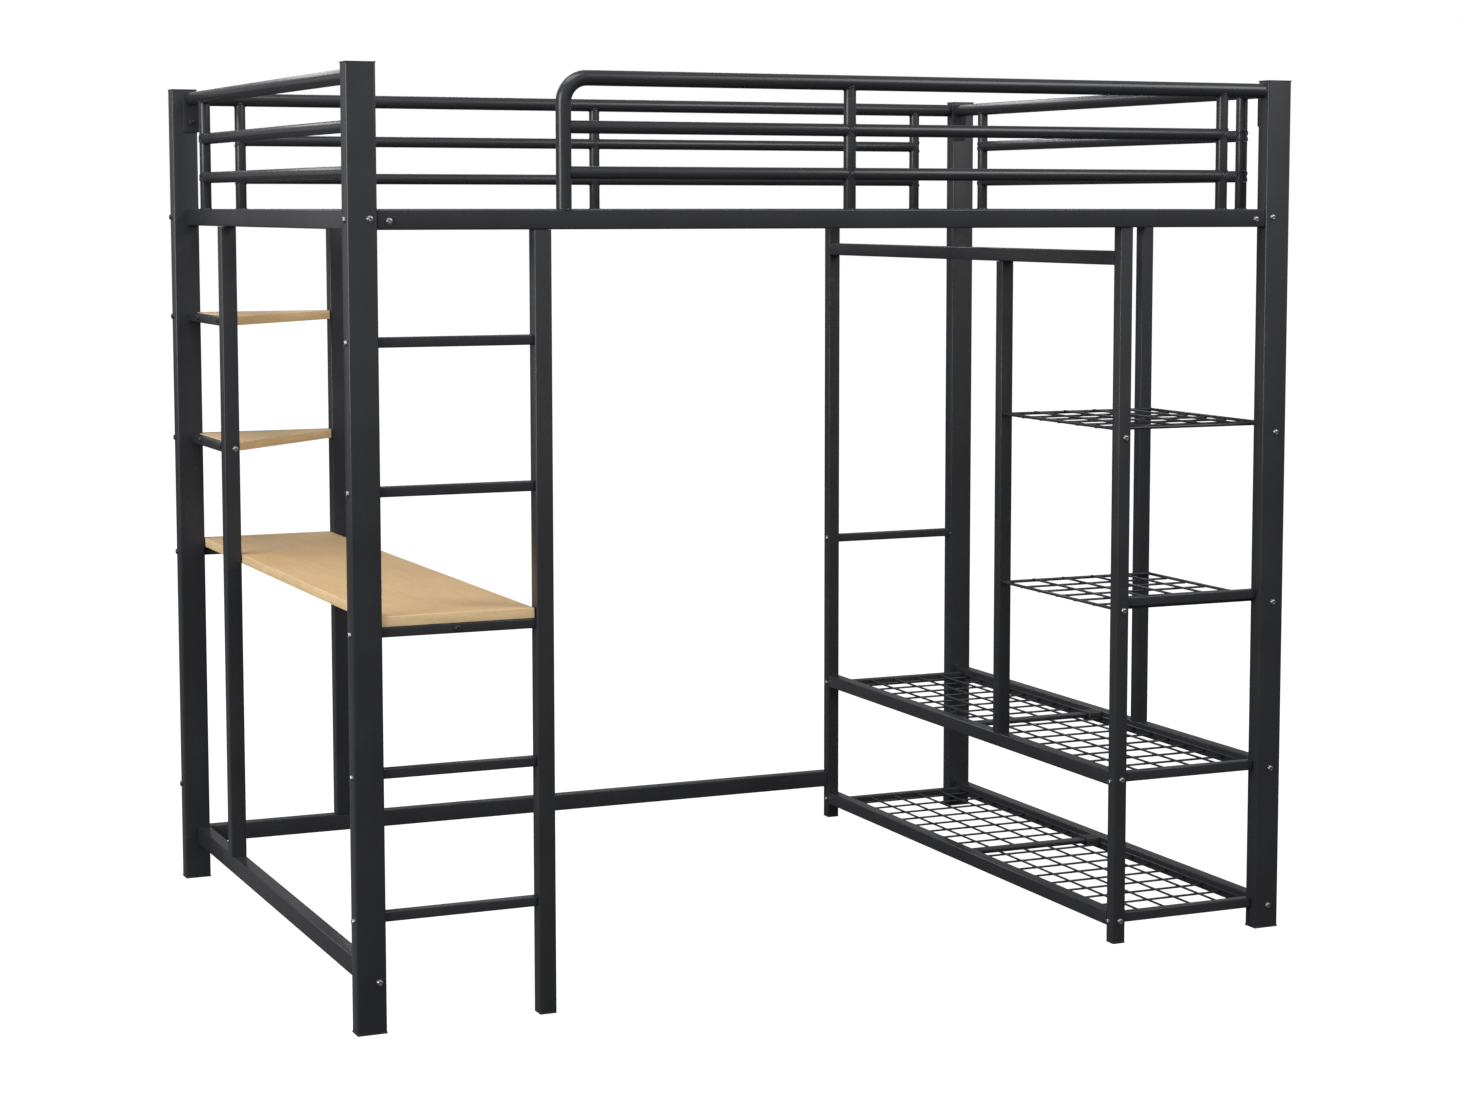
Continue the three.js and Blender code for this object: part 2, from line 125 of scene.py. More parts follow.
def rod(start, end, radius, sides=32, rounding=0.4 * mm):
    # A round bar between two points that differ along one axis only.
    start, end = np.asarray(start, float), np.asarray(end, float)
    axis = int(np.argmax(np.abs(end - start)))
    centre = np.delete(start, axis)
    lo, hi = sorted((start[axis], end[axis]))
    return bar(circle(radius, sides), lo, hi, axis, centre, rounding)


def pipe(path, radius, sides=10, closed=False):
    # A round section carried along a path: at each point it stands square to the path, on a
    # side vector that is square to both the path and the direction the path bends least in.
    path = np.asarray(path, float)
    if closed:
        ahead = np.roll(path, -1, axis=0) - np.roll(path, 1, axis=0)
    else:
        ahead = np.gradient(path, axis=0)
    ahead /= np.linalg.norm(ahead, axis=1)[:, None]
    flattest = np.linalg.svd(path - path.mean(axis=0))[2][2]
    side = np.cross(ahead, flattest)
    side /= np.linalg.norm(side, axis=1)[:, None]
    up = np.cross(side, ahead)
    ring = circle(radius, sides)
    rings = path[:, None] + ring[None, :, :1] * side[:, None] + ring[None, :, 1:] * up[:, None]
    return loft(rings, closed)


def block(low, high, rounding=0.6 * mm):
    # A box with rounded upright edges and soft upper and lower edges.
    low, high = np.asarray(low, float), np.asarray(high, float)
    size = high - low
    section = rectangle(size[0], size[1], min(rounding * 1.5, size[:2].min() / 3), steps=3)
    return bar(section, low[2], high[2], 2, (low[:2] + high[:2]) / 2, rounding)


def newMaterial(name, **sockets):
    # A Principled material. Underscores in a socket's name stand for spaces.
    material = bpy.data.materials.new(name)
    material.use_nodes = True
    nodes, links = material.node_tree.nodes, material.node_tree.links
    shader = nodes["Principled BSDF"]
    for socket, value in sockets.items():
        shader.inputs[socket.replace("_", " ")].default_value = value
    return material, nodes, links, shader


def noisePattern(nodes, links, scale, stretch=(1, 1, 1), **settings):
    # Noise on Object coordinates, each multiplied by the stretch: a small one draws it out.
    place = nodes.new("ShaderNodeTexCoord")
    mapping = nodes.new("ShaderNodeMapping")
    mapping.inputs["Scale"].default_value = stretch
    texture = nodes.new("ShaderNodeTexNoise")
    texture.inputs["Scale"].default_value = scale
    for socket, value in settings.items():
        texture.inputs[socket].default_value = value
    links.new(place.outputs["Object"], mapping.inputs["Vector"])
    links.new(mapping.outputs["Vector"], texture.inputs["Vector"])
    return texture


def colourRamp(nodes, links, source, stops):
    # Each stop is a position from 0 to 1 and a colour, and colours between stops are blended.
    ramp = nodes.new("ShaderNodeValToRGB")
    ramp.color_ramp.elements[0].position, ramp.color_ramp.elements[0].color = stops[0]
    ramp.color_ramp.elements[1].position, ramp.color_ramp.elements[1].color = stops[-1]
    for position, colour in stops[1:-1]:
        ramp.color_ramp.elements.new(position).color = colour
    links.new(source, ramp.inputs["Fac"])
    return ramp


def valueRange(nodes, links, source, low, high):
    # A value from 0 to 1 becomes low + value (high - low).
    span = nodes.new("ShaderNodeMapRange")
    span.inputs["To Min"].default_value = low
    span.inputs["To Max"].default_value = high
    links.new(source, span.inputs["Value"])
    return span.outputs["Result"]


def bumpFrom(nodes, links, source, strength, distance):
    # The normal leans as if the source raised the surface by up to the distance.
    bump = nodes.new("ShaderNodeBump")
    bump.inputs["Strength"].default_value = strength
    bump.inputs["Distance"].default_value = distance
    links.new(source, bump.inputs["Height"])
    return bump


powderCoat = {
    "dark": (0.0178, 0.0183, 0.0207, 1), "light": (0.0216, 0.0222, 0.0248, 1),
    "gloss": (0.24, 0.30), "specular": 0.23, "patchScale": 7,
    "peelScale": 420, "peelStrength": 0.01, "peelDepth": 0.00008,
}


def makePowderCoat():
    # Satin black coat: the orange peel is a fine noise, and dust and flow vary the gloss.
    material, nodes, links, shader = newMaterial("satinBlackCoat", Metallic=0.0)
    shader.inputs["Specular IOR Level"].default_value = powderCoat["specular"]
    patches = noisePattern(nodes, links, powderCoat["patchScale"], Detail=4.0, Roughness=0.6)
    tone = colourRamp(nodes, links, patches.outputs["Fac"],
                      [(0.3, powderCoat["dark"]), (0.7, powderCoat["light"])])
    links.new(tone.outputs["Color"], shader.inputs["Base Color"])
    gloss = valueRange(nodes, links, patches.outputs["Fac"], *powderCoat["gloss"])
    links.new(gloss, shader.inputs["Roughness"])
    peel = noisePattern(nodes, links, powderCoat["peelScale"], Detail=2.0)
    strength, depth = powderCoat["peelStrength"], powderCoat["peelDepth"]
    bump = bumpFrom(nodes, links, peel.outputs["Fac"], strength, depth)
    links.new(bump.outputs["Normal"], shader.inputs["Normal"])
    return material


# Tones run from the dark grain to the light one. Pores multiply them by their own tone.
oak = {
    "board": [(0.395, 0.258, 0.118, 1), (0.445, 0.297, 0.143, 1), (0.482, 0.327, 0.164, 1)],
    "deskEdge": [(0.465, 0.330, 0.172, 1), (0.52, 0.378, 0.21, 1), (0.57, 0.43, 0.25, 1)],
    # The shelf edge tones are lighter than the desk edge's. This is painted light that makes up for the
    # weaker light reaching the corner shelves under the bed deck; the real edges match the desk's.
    "shelfEdgeWithPaintedLight": [(0.61, 0.415, 0.195, 1), (0.68, 0.47, 0.24, 1), (0.74, 0.53, 0.285, 1)],
    "stops": (0.28, 0.5, 0.72), "grainScale": 9, "poreScale": 90,
    "poreTones": [(0.35, (0.86, 0.84, 0.82, 1)), (0.55, (1, 1, 1, 1))],
    "gloss": (0.42, 0.55), "specular": 0.22, "poreStrength": 0.3, "poreDepth": 0.00012,
}


def makeOak(name, stretch, tones):
    # Light oak foil: long grain from a stretched noise, broken by finer pores.
    material, nodes, links, shader = newMaterial(name, Metallic=0.0)
    shader.inputs["Specular IOR Level"].default_value = oak["specular"]
    grain = noisePattern(nodes, links, oak["grainScale"], stretch,
                         Detail=8.0, Roughness=0.62, Distortion=0.6)
    pores = noisePattern(nodes, links, oak["poreScale"], stretch, Detail=3.0, Roughness=0.7)
    tone = colourRamp(nodes, links, grain.outputs["Fac"], list(zip(oak["stops"], tones)))
    poreTone = colourRamp(nodes, links, pores.outputs["Fac"], oak["poreTones"])
    mix = nodes.new("ShaderNodeMix")
    mix.data_type, mix.blend_type = "RGBA", "MULTIPLY"
    mix.inputs[0].default_value = 1.0
    links.new(tone.outputs["Color"], mix.inputs[6])
    links.new(poreTone.outputs["Color"], mix.inputs[7])
    links.new(mix.outputs[2], shader.inputs["Base Color"])
    gloss = valueRange(nodes, links, grain.outputs["Fac"], *oak["gloss"])
    links.new(gloss, shader.inputs["Roughness"])
    bump = bumpFrom(nodes, links, pores.outputs["Fac"], oak["poreStrength"], oak["poreDepth"])
    links.new(bump.outputs["Normal"], shader.inputs["Normal"])
    return material


zincPlate = {"dark": (0.21, 0.21, 0.225, 1), "light": (0.32, 0.32, 0.34, 1),
             "gloss": (0.22, 0.38), "cloudScale": 600}


def makeZinc():
    # Bare metal whose tone and gloss follow one fine cloud of noise.
    material, nodes, links, shader = newMaterial("zincPlate", Metallic=1.0)
    cloud = noisePattern(nodes, links, zincPlate["cloudScale"], Detail=3.0)
    tone = colourRamp(nodes, links, cloud.outputs["Fac"],
                      [(0.3, zincPlate["dark"]), (0.7, zincPlate["light"])])
    links.new(tone.outputs["Color"], shader.inputs["Base Color"])
    gloss = valueRange(nodes, links, cloud.outputs["Fac"], *zincPlate["gloss"])
    links.new(gloss, shader.inputs["Roughness"])
    return material


blackPlastic = {"dark": (0.006, 0.006, 0.006, 1), "light": (0.010, 0.010, 0.010, 1),
                "gloss": (0.5, 0.62), "grainScale": 900, "grainStrength": 0.2, "grainDepth": 0.0001}


def makePlastic():
    # Moulded plastic with a fine matt grain.
    material, nodes, links, shader = newMaterial("mouldedPlastic", Metallic=0.0)
    grainy = noisePattern(nodes, links, blackPlastic["grainScale"], Detail=2.0)
    tone = colourRamp(nodes, links, grainy.outputs["Fac"],
                      [(0.3, blackPlastic["dark"]), (0.7, blackPlastic["light"])])
    links.new(tone.outputs["Color"], shader.inputs["Base Color"])
    gloss = valueRange(nodes, links, grainy.outputs["Fac"], *blackPlastic["gloss"])
    links.new(gloss, shader.inputs["Roughness"])
    bump = bumpFrom(nodes, links, grainy.outputs["Fac"],
                    blackPlastic["grainStrength"], blackPlastic["grainDepth"])
    links.new(bump.outputs["Normal"], shader.inputs["Normal"])
    return material


coat = makePowderCoat()
zinc = makeZinc()
plastic = makePlastic()
alongY, alongX, alongEdge = (6, 0.5, 6), (0.5, 6, 6), (1.2, 1.2, 9)  # which way the grain runs
deskOak = makeOak("oakAlongDesk", alongY, oak["board"])
shelfOak = makeOak("oakAcrossShelf", alongX, oak["board"])
deskEdge = makeOak("oakDeskEdge", alongEdge, oak["deskEdge"])
# The shelf edges get lighter tones as painted light, for the weaker light under the bed deck.
shelfEdgeWithPaintedLight = makeOak("oakShelfEdgeWithPaintedLight", alongEdge, oak["shelfEdgeWithPaintedLight"])
print("materials made")

smoothBelow = math.radians(38)  # faces that meet at less than this are shaded as one surface


def addPiece(name, shapes, materials, nodes=(), materialOf=None):
    # Joins the shapes into one mesh. materialOf gives each shape's faces their material index.
    points, corners, sizes, kinds = [], [], [], []
    base = 0
    for n, (shapePoints, faces) in enumerate(shapes):
        points.append(shapePoints)
        for group in faces:
            corners.append((group + base).ravel())
            sizes.append(np.full(len(group), group.shape[1]))
            kinds.append(np.full(len(group), materialOf[n] if materialOf else 0))
        base += len(shapePoints)
    points, corners = np.concatenate(points), np.concatenate(corners)
    sizes, kinds = np.concatenate(sizes), np.concatenate(kinds)
    mesh = bpy.data.meshes.new(name)
    mesh.vertices.add(len(points))
    mesh.vertices.foreach_set("co", points.astype(np.float32).ravel())
    mesh.loops.add(len(corners))
    mesh.loops.foreach_set("vertex_index", corners.astype(np.int32))
    mesh.polygons.add(len(sizes))
    mesh.polygons.foreach_set("loop_start", (np.cumsum(sizes) - sizes).astype(np.int32))
    for material in materials:
        mesh.materials.append(material)
    mesh.polygons.foreach_set("material_index", kinds.astype(np.int32))
    mesh.update(calc_edges=True)
    mesh.validate()
    mesh.polygons.foreach_set("use_smooth", np.ones(len(mesh.polygons), bool))
    mesh.set_sharp_from_angle(angle=smoothBelow)
    piece = bpy.data.objects.new(name, mesh)
    bpy.context.scene.collection.objects.link(piece)
    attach(piece, "root")
    if nodes:
        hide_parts(*nodes)


def box(node):
    # The low and the high corner of a node's box, as arrays.
    low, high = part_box(node)
    return np.array(low), np.array(high)


# Rectangular tubes take their size from the frame. Their ends reach just into what they meet.
tubes = {
    "post": {"radius": 4.0 * mm, "crown": 0.9 * mm},
    "rail": {"radius": 2.6 * mm, "crown": 0.35 * mm},
    "rung": {"radius": 2.2 * mm, "crown": 0.25 * mm},
    "reach": 0.25 * mm,
}


def tube(node, kind, trimLow=0.0, trimHigh=0.0):
    # The longest side of the node's box is the tube's axis, and the other two are its section.
    low, high = box(node)
    axis = int(np.argmax(high - low))
    size, middle = np.delete(high - low, axis), np.delete((low + high) / 2, axis)
    style = tubes[kind]
    section = rectangle(size[0], size[1], style["radius"], style["crown"])
    reach = tubes["reach"]
    return bar(section, low[axis] - reach + trimLow, high[axis] + reach - trimHigh, axis, middle)


def addTube(node, kind="rail"):
    # One tube that stands for one node.
    addPiece(node + "_tube", [tube(node, kind)], [coat], [node])


plugs = {"cap": 2.2 * mm, "capInset": 0.3 * mm, "foot": 3.5 * mm, "footInset": 0.4 * mm, "edge": 0.9 * mm}


def addUpright(node, kind, capped):
    # A leg stands on a moulded plug, and a post has another one in its top.
    low, high = box(node)
    reach, edge = tubes["reach"], plugs["edge"]
    top = plugs["cap"] + reach if capped else 0.0
    addPiece(node + "_tube", [tube(node, kind, plugs["foot"] + reach, top)], [coat], [node])
    inset = plugs["footInset"]
    shapes = [block((low[0] + inset, low[1] + inset, low[2]),
                    (high[0] - inset, high[1] - inset, low[2] + plugs["foot"]), edge)]
    if capped:
        inset = plugs["capInset"]
        shapes.append(block((low[0] + inset, low[1] + inset, high[2] - plugs["cap"]),
                            (high[0] - inset, high[1] - inset, high[2]), edge))
    addPiece(node + "_plugs", shapes, [plastic])


for name in ["post_front_left", "post_front_right", "post_back_left", "post_back_right"]:
    addUpright(name, "post", True)
for name in ["ladder_stile", "wardrobe_leg_front", "wardrobe_leg_back"]:
    addUpright(name, "rail", False)

for name in ["bed_rail_front", "bed_rail_back", "bed_rail_left", "bed_rail_right",
             "floor_rail_left", "floor_rail_back", "desk_stile_left", "desk_stile_back",
             "hanging_rail", "divider_inner", "divider_outer",
             "shelf_lower_inner_rail", "shelf_lower_outer_rail",
             "shelf_upper_inner_rail", "shelf_upper_outer_rail", "slat_beam"]:
    addTube(name)
for name in ["rung_1", "rung_2", "rung_3", "rung_4", "desk_rail_front", "desk_rail_back",
             "wardrobe_back_rail", "wardrobe_front_rail",
             "corner_shelf_lower_side_bracket", "corner_shelf_upper_side_bracket",
             "corner_shelf_lower_back_bracket", "corner_shelf_upper_back_bracket"]:
    addTube(name, "rung")
slatCount = 10
for k in range(slatCount):
    addTube(f"slat_{k + 1}", "rung")
print("frame tubes made")


# The spindles are given by their places along the guard.
guards = {
    "topRadius": 15 * mm, "infillRadius": 12.5 * mm, "bead": 1.7 * mm,
    "upper": 1719.5 * mm, "lower": 1632.5 * mm, "bend": 48 * mm,
    "backSpindles": [-0.876, 0.0, 0.876], "frontSpindles": [0.002, 0.877], "endSpindles": [-0.608, 0.561],
}


def onPlane(axis, along, level, plane):
    # A point on an upright plane: along is its place on the given axis, level its height.
    return (along, plane, level) if axis == 0 else (plane, along, level)


def saddleBead(centre, spindleRadius, tubeRadius, tubeAxis, side, bead, steps=56):
    # The bead follows the line where an upright cylinder of the spindle's radius meets a level
    # cylinder of the tube's radius: level = sqrt(R^2 - (r sin t)^2), above or below the centre.
    t = np.linspace(0, 2 * math.pi, steps, endpoint=False)
    r, big = spindleRadius, max(tubeRadius, spindleRadius * 1.001)
    along, across = r * np.cos(t), r * np.sin(t)
    level = side * np.sqrt(big ** 2 - across ** 2)
    path = np.stack([along, across, level] if tubeAxis == 0 else [across, along, level], axis=-1)
    return pipe(path + np.asarray(centre), bead, 8, closed=True)


def footBead(centre, radius, axis, bead, steps=40):
    # A ring of weld where a round tube meets a flat face.
    t = np.linspace(0, 2 * math.pi, steps, endpoint=False)
    ring = np.stack([radius * np.cos(t), radius * np.sin(t), 0 * t], axis=-1)
    return pipe(toWorld(ring, axis) + np.asarray(centre), bead, 8, closed=True)


def infill(axis, plane, start, end, spindles, railTop, topLevel):
    # Two level tubes, the spindles through them, and a weld at every place where they meet.
    r, bead = guards["infillRadius"], guards["bead"]
    shapes, beads = [], []
    for level in (guards["lower"], guards["upper"]):
        shapes.append(rod(onPlane(axis, start, level, plane), onPlane(axis, end, level, plane), r))
    for along in spindles:
        foot, head = onPlane(axis, along, railTop, plane), onPlane(axis, along, topLevel, plane)
        shapes.append(rod(foot, head, r))
        for level in (guards["lower"], guards["upper"]):
            for side in (-1, 1):
                beads.append(saddleBead(onPlane(axis, along, level, plane), r, r, axis, side, bead))
        beads.append(saddleBead(head, r, guards["topRadius"], axis, -1, bead))
        beads.append(footBead(foot, r, 2, bead))
    return shapes + beads


railTop = box("bed_rail_front")[1][2]
topLow, topHigh = box("guard_back_top")
topLevel = (topLow[2] + topHigh[2]) / 2


def addStraightGuard(side, axis, spindles):
    # A top tube from post to post, and its infill from the first spindle to the last.
    low, high = box(f"guard_{side}_top")
    plane = ((low + high) / 2)[1 - axis]
    reach = tubes["reach"]
    start, end = low[axis] - reach, high[axis] + reach
    ends = [onPlane(axis, along, topLevel, plane) for along in (start, end)]
    shapes = [rod(*ends, guards["topRadius"], 48)]
    shapes += [footBead(end, guards["topRadius"], axis, guards["bead"]) for end in ends]
    addPiece(f"guard_{side}_top_tube", shapes, [coat], [f"guard_{side}_top"])
    shapes = infill(axis, plane, spindles[0], spindles[-1], spindles, railTop, topLevel)
    addPiece(f"guard_{side}_bars", shapes, [coat], [f"guard_{side}_infill"])


addStraightGuard("left", 1, guards["endSpindles"])
addStraightGuard("right", 1, guards["endSpindles"])
addStraightGuard("back", 0, guards["backSpindles"])


def addFrontGuard():
    # The top tube runs up from the bed rail, round a quarter circle, and on to the post.
    low, high = box("guard_front_top")
    plane = (low[1] + high[1]) / 2
    legX, r = low[0] + guards["topRadius"], guards["bend"]
    turn = np.linspace(math.pi, math.pi / 2, 25)
    bendX, bendZ = legX + r + r * np.cos(turn), topLevel - r + r * np.sin(turn)
    rise = np.linspace(railTop, topLevel - r, 6)[:-1]
    run = np.linspace(legX + r, high[0] + tubes["reach"], 12)[1:]
    x = np.concatenate([np.full(len(rise), legX), bendX, run])
    z = np.concatenate([rise, bendZ, np.full(len(run), topLevel)])
    path = np.stack([x, np.full(len(x), plane), z], axis=-1)
    shapes = [pipe(path, guards["topRadius"], 48),
              footBead((legX, plane, railTop), guards["topRadius"], 2, guards["bead"]),
              footBead((path[-1][0], plane, topLevel), guards["topRadius"], 0, guards["bead"])]
    addPiece("guard_front_top_tube", shapes, [coat], ["guard_front_top"])
    spindles = guards["frontSpindles"]
    shapes = infill(0, plane, legX, spindles[-1], spindles, railTop, topLevel)
    addPiece("guard_front_bars", shapes, [coat], ["guard_front_infill"])


addFrontGuard()
print("guards made")


boards = {"edge": 0.8 * mm, "clearance": 0.3 * mm}


def boardShapes(outline, low, high):
    # The outline is carried upwards, drawn in at its upper and lower edges by the edge radius.
    # Side faces come first, then the two flat faces.
    outline = np.asarray(outline, float)
    ahead, back = np.roll(outline, -1, axis=0) - outline, outline - np.roll(outline, 1, axis=0)
    ahead /= np.linalg.norm(ahead, axis=1)[:, None]
    back /= np.linalg.norm(back, axis=1)[:, None]
    inwardAhead = np.stack([-ahead[:, 1], ahead[:, 0]], axis=-1)
    inwardBack = np.stack([-back[:, 1], back[:, 0]], axis=-1)
    mitre = (inwardAhead + inwardBack) / (1 + (inwardAhead * inwardBack).sum(axis=1))[:, None]
    e = boards["edge"]
    t = np.linspace(0, math.pi / 2, 4)
    inset = np.concatenate([e * (1 - np.sin(t)), (e * (1 - np.sin(t)))[::-1]])
    level = np.concatenate([low + e * (1 - np.cos(t)), (high - e * (1 - np.cos(t)))[::-1]])
    rings = np.empty((len(inset), len(outline), 3))
    rings[..., :2] = outline + inset[:, None, None] * mitre
    rings[..., 2] = level[:, None]
    points, faces = loft(rings)
    return [(points, faces[:1]), (points, faces[1:])]


def addBoard(name, node, outline, faceMaterial, edgeMaterial):
    # A board as thick as its node, with one material on its edges and one on its two faces.
    low, high = box(node)
    shapes = boardShapes(outline, low[2], high[2])
    addPiece(name, shapes, [faceMaterial, edgeMaterial], [node], materialOf=[1, 0])


def rectangleOutline(low, high):
    # The four corners of a box seen from above, anticlockwise.
    return [(low[0], low[1]), (high[0], low[1]), (high[0], high[1]), (low[0], high[1])]


low, high = box("desk_top")
addBoard("desk_board", "desk_top", rectangleOutline(low, high), deskOak, deskEdge)
for level in ("lower", "upper"):
    low, high = box(f"corner_shelf_{level}_board")
    postX = box("post_back_left")[1][0] + boards["clearance"]
    postY = box("post_back_left")[0][1] - boards["clearance"]
    outline = [(low[0], low[1]), (high[0], postY), (high[0], high[1]),
               (postX, high[1]), (postX, postY), (low[0], postY)]
    addBoard(f"corner_board_{level}", f"corner_shelf_{level}_board", outline, shelfOak, shelfEdgeWithPaintedLight)
print("boards made")


wires = {
    "radius": 2.4 * mm, "sides": 10, "drop": 13.5 * mm, "cells": 5, "pitch": 74.3 * mm,
    "frontFirst": -0.648, "bar": 20 * mm, "frontHeight": 22 * mm, "corner": 2.2 * mm, "crown": 0.2 * mm,
    "middleFront": -0.045, "middleDeep": 30 * mm, "middleHeight": 10 * mm, "middleDrop": 4.5 * mm,
    "backFront": 0.644, "backDrop": 9 * mm,
    "cap": (34 * mm, 44 * mm, 20 * mm), "capTop": 1.5 * mm, "capEdge": 2 * mm,
}


def addDeck(level):
    # Long wires run between the front bar and the back bar, with cross wires under them. Long
    # wire k of n cells stands k / n of the way across.
    inner, outer = box(f"shelf_{level}_inner_rail"), box(f"shelf_{level}_outer_rail")
    x0, x1, top = inner[1][0], outer[0][0], inner[1][2]
    low, high = box(f"shelf_{level}_deck")
    postX = box("post_front_right")[0][0]
    radius, size, corner, crown = wires["radius"], wires["bar"], wires["corner"], wires["crown"]
    frontHeight, middleDeep, middleHeight = wires["frontHeight"], wires["middleDeep"], wires["middleHeight"]
    frontY, backY, middleY = low[1], wires["backFront"], wires["middleFront"]
    frames = [bar(rectangle(size, frontHeight, corner, crown), x0, postX, 0,
                  (frontY + size / 2, top - frontHeight / 2)),
              bar(rectangle(size, size, corner, crown), x0, x1, 0,
                  (backY + size / 2, top - wires["backDrop"] - size / 2)),
              bar(rectangle(middleDeep, middleHeight, corner, crown), x0, x1, 0,
                  (middleY + middleDeep / 2, top - wires["middleDrop"] - middleHeight / 2))]
    longZ = top - wires["drop"]
    crossZ = longZ - 2 * radius
    grid = []
    for k in range(wires["cells"] + 1):
        x = x0 + radius + (x1 - x0 - 2 * radius) * k / wires["cells"]
        grid.append(rod((x, frontY + size, longZ), (x, backY, longZ), radius, wires["sides"]))
    for y in np.arange(wires["frontFirst"], backY - radius, wires["pitch"]):
        grid.append(rod((x0, y, crossZ), (x1, y, crossZ), radius, wires["sides"]))
    addPiece(f"shelf_{level}_mesh", frames + grid, [coat], [f"shelf_{level}_deck"])
    length, deep, tall = wires["cap"]
    y, z = middleY + middleDeep / 2, top - wires["capTop"]
    cap = block((x1 - length, y - deep / 2, z - tall), (x1, y + deep / 2, z), wires["capEdge"])
    addPiece(f"shelf_{level}_bar_cap", [cap], [plastic])


addDeck("lower")
addDeck("upper")

smallShelf = {"wire": 2.5 * mm, "rim": 3.5 * mm, "rimSides": 12, "across": 6, "along": 5,
              "tabWidth": 20 * mm, "tabDrop": 22 * mm, "tabThick": 3 * mm, "tabX": (0.6445, 1.0123)}


def addSmallShelf(level):
    # A grid of wires in a rim of thicker wire, with bolt tabs hanging from its front corners.
    low, high = box(f"wire_shelf_{level}")
    rim, wire = smallShelf["rim"], smallShelf["wire"]
    z = high[2] - rim
    x0, x1, y0, y1 = low[0] + rim, high[0] - rim, low[1] + rim, high[1] - rim
    sides = smallShelf["rimSides"]
    shapes = [rod((low[0], y, z), (high[0], y, z), rim, sides) for y in (y0, y1)]
    shapes += [rod((x, low[1], z), (x, high[1], z), rim, sides) for x in (x0, x1)]
    for k in range(1, smallShelf["along"]):
        x = x0 + (x1 - x0) * k / smallShelf["along"]
        shapes.append(rod((x, y0, z + wire), (x, y1, z + wire), wire, wires["sides"]))
    for k in range(1, smallShelf["across"]):
        y = y0 + (y1 - y0) * k / smallShelf["across"]
        shapes.append(rod((x0, y, z - wire), (x1, y, z - wire), wire, wires["sides"]))
    half, drop, thick = smallShelf["tabWidth"] / 2, smallShelf["tabDrop"], smallShelf["tabThick"]
    for x in smallShelf["tabX"]:
        shapes.append(block((x - half, low[1], z - drop), (x + half, low[1] + thick, z)))
    addPiece(f"wire_shelf_{level}_grid", shapes, [coat], [f"wire_shelf_{level}"])


addSmallShelf("lower")
addSmallShelf("upper")
print("wire shelves made")


bolt = {"head": 5.8 * mm, "height": 3.2 * mm, "hex": 2.3 * mm, "depth": 2.2 * mm,
        "washer": 6.6 * mm, "thick": 0.8 * mm, "sunk": 0.4 * mm, "sides": 24,
        "dome": 0.55, "domeFrom": 0.4, "flatTo": 0.52, "lip": 1.12, "lipLow": 0.93, "lipHigh": 0.97,
        "washerFace": 0.97, "washerEdge": 0.7}


def boltHead(centre, axis, sign):
    # A button head. Rings run from the floor of the hexagon socket, up its wall, over the dome
    # and down to the washer. In the socket the radius is the hexagon's: its half width over the
    # cosine of the angle from the middle of the nearest flat. The dome takes the upper 0.55 of
    # the height h: it falls as sqrt(1 - s^2), where s is 0 at 0.4 of the head's radius and 1 at
    # its rim. The socket's lip widens by lip, from lipLow to lipHigh of h.
    t = np.linspace(0, 2 * math.pi, bolt["sides"], endpoint=False)
    sixth = math.pi / 3
    hexagon = bolt["hex"] / np.cos((t + sixth / 2) % sixth - sixth / 2)
    h, big, thick = bolt["height"], bolt["head"], bolt["thick"]
    one = np.ones(len(t))
    socketFloor = h - bolt["depth"] + thick
    radii = [hexagon * 0.5, hexagon, hexagon, hexagon * bolt["lip"]]
    levels = [socketFloor, socketFloor, h * bolt["lipLow"] + thick, h * bolt["lipHigh"] + thick]
    dome, domeFrom = bolt["dome"], bolt["domeFrom"]
    for part in np.linspace(bolt["flatTo"], 1.0, 6):
        s = (part - domeFrom) / (1 - domeFrom)
        radii.append(one * big * part)
        levels.append(thick + (1 - dome) * h + dome * h * math.sqrt(max(0.0, 1 - s ** 2)))
    washer = one * bolt["washer"]
    radii += [one * big, washer * bolt["washerFace"], washer, washer]
    levels += [thick, thick, thick * bolt["washerEdge"], -bolt["sunk"]]
    radii, levels = np.array(radii), np.array(levels)
    rings = np.stack([radii * np.cos(t), radii * np.sin(t), sign * levels[:, None] * one], axis=-1)
    return loft(toWorld(rings, axis) + np.asarray(centre))


def faceOf(node, axis, sign):
    # Where the node's face on that side of the axis lies.
    low, high = box(node)
    return high[axis] if sign > 0 else low[axis]


# Each row: the node the bolt goes through, the face's axis and side, and the bolt's place along
# the face and its height.
bedBolts = [("post_front_left", 1, -1, -0.9945, 1.545), ("post_front_left", 1, -1, -0.994, 0.100),
            ("bed_rail_front", 1, -1, -0.956, 1.541), ("bed_rail_front", 1, -1, 0.957, 1.541),
            ("post_front_right", 1, -1, 0.9956, 1.545)]
bedBolts += [("post_front_right", 1, -1, 1.0123, z) for z in (1.085, 0.7165, 0.3527, 0.0492)]
bedBolts += [("post_front_left", 0, -1, -0.712, z) for z in (1.543, 1.3145, 1.033, 0.7665, 0.4946, 0.2187)]
bedBolts += [("post_back_right", 0, -1, 0.701, 0.720)]
deskBolts = [("ladder_stile", 0, 1, -0.712, z) for z in (1.3153, 1.0378, 0.7698, 0.4997, 0.225)]
deskBolts += [("desk_stile_left", 1, -1, -0.9896, 1.035)]
blackBolts = [("post_back_left", 0, -1, 0.717, z) for z in (1.5436, 1.316, 1.036, 0.7695, 0.2216)]
blackBolts += [("desk_rail_front", 1, -1, -0.8294, 0.7695)]
